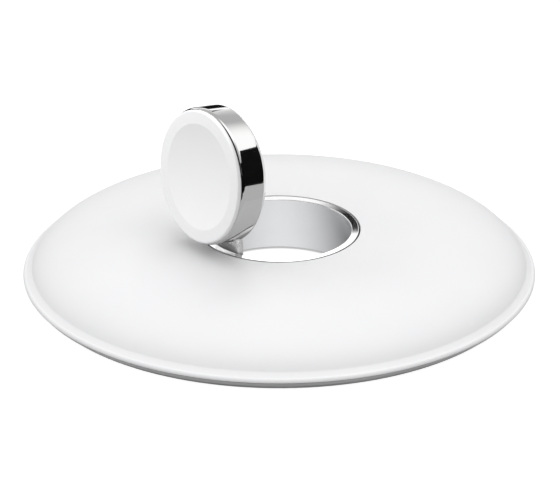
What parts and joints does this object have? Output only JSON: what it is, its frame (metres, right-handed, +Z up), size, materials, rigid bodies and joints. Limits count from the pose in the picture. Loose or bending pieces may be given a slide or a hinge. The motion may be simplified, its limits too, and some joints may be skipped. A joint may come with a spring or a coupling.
{
  "type": "smartwatch charging dock",
  "caption": "Round weighted charging dock with a lined through well and a magnetic charging disc on a goose-neck arm that flips from flat to upright.",
  "frame": {"origin": "on the axis of the well, at the surface the dock stands on", "axes": "+Z up along the well's axis; +X along the hinge axis; the raised disc looks towards -Y and the power inlet is on the +Y side"},
  "size_m": [0.1044, 0.1043, 0.042],
  "materials": {
    "cover_white": "soft-touch matt white",
    "frame_white": "moulded, matt",
    "tray_grey": "moulded, fine satin",
    "sole_rubber": "matt non-slip",
    "seal_rubber": "matt",
    "polished_steel": "mirror polished stainless steel",
    "satin_aluminium": "bead-blasted satin",
    "screw_steel": "machined",
    "ballast_steel": "pressed, phosphated",
    "bracket_zinc": "die cast",
    "spring_steel": "rolled",
    "washer_acetal": "moulded",
    "black_rubber": "matt",
    "board_green": "solder mask",
    "chip_black": "moulded",
    "inductor_ferrite": "sintered",
    "capacitor_ceramic": "ceramic",
    "shield_tin": "tinned",
    "socket_cream": "moulded",
    "lead_insulation": "enamelled",
    "inlet_steel": "drawn",
    "contact_gold": "gold plated",
    "flex_amber": "polyimide",
    "face_white": "polished white",
    "coil_copper": "enamelled wire",
    "ferrite_dark": "sintered",
    "magnet_nickel": "nickel plated",
    "thermal_blue": "soft pad",
    "pin_steel": "ground"
  },
  "bodies": {
    "dock_base": {"top_cover": "cover_white", "cover_frame": "frame_white", "base_tray": "tray_grey", "sole_pad": "sole_rubber", "edge_seal": "seal_rubber", "ring_bezel": "polished_steel", "well_liner": "satin_aluminium", "liner_screws": "screw_steel", "ballast_ring": "ballast_steel", "ballast_screws": "screw_steel", "base_screws": "screw_steel", "hinge_bracket": "bracket_zinc", "bracket_screws": "screw_steel", "friction_clips": "spring_steel", "hinge_washers": "washer_acetal", "flat_stop_pad": "black_rubber", "main_board": "board_green", "board_screws": "screw_steel", "power_chips": "chip_black", "board_inductors": "inductor_ferrite", "board_capacitors": "capacitor_ceramic", "board_shield": "shield_tin", "lead_socket": "socket_cream", "base_lead": "lead_insulation", "inlet_shell": "inlet_steel", "inlet_tongue": "chip_black", "inlet_contacts": "contact_gold", "inlet_trim": "polished_steel", "inlet_board": "board_green", "inlet_board_screws": "screw_steel", "inlet_flex": "flex_amber"},
    "charging_disc": {"disc_housing": "polished_steel", "disc_face": "face_white", "face_seal": "black_rubber", "charging_coil": "coil_copper", "ferrite_plate": "ferrite_dark", "alignment_magnet": "magnet_nickel", "magnet_cup": "spring_steel", "thermal_pad": "thermal_blue", "disc_board": "board_green", "disc_board_chips": "chip_black", "disc_board_capacitors": "capacitor_ceramic", "disc_board_screws": "screw_steel", "temperature_sensor": "chip_black", "hinge_arm": "polished_steel", "arm_screws": "screw_steel", "hinge_pin": "pin_steel", "pin_clips": "spring_steel", "disc_lead": "lead_insulation"}
  },
  "joints": [
    {"name": "disc_flip", "type": "hinge", "parent": "dock_base", "child": "charging_disc", "pos_m": [0, -0.0186, 0.0094], "axis": [-1, 0, 0], "range_deg": [0, 83.1]}
  ]
}
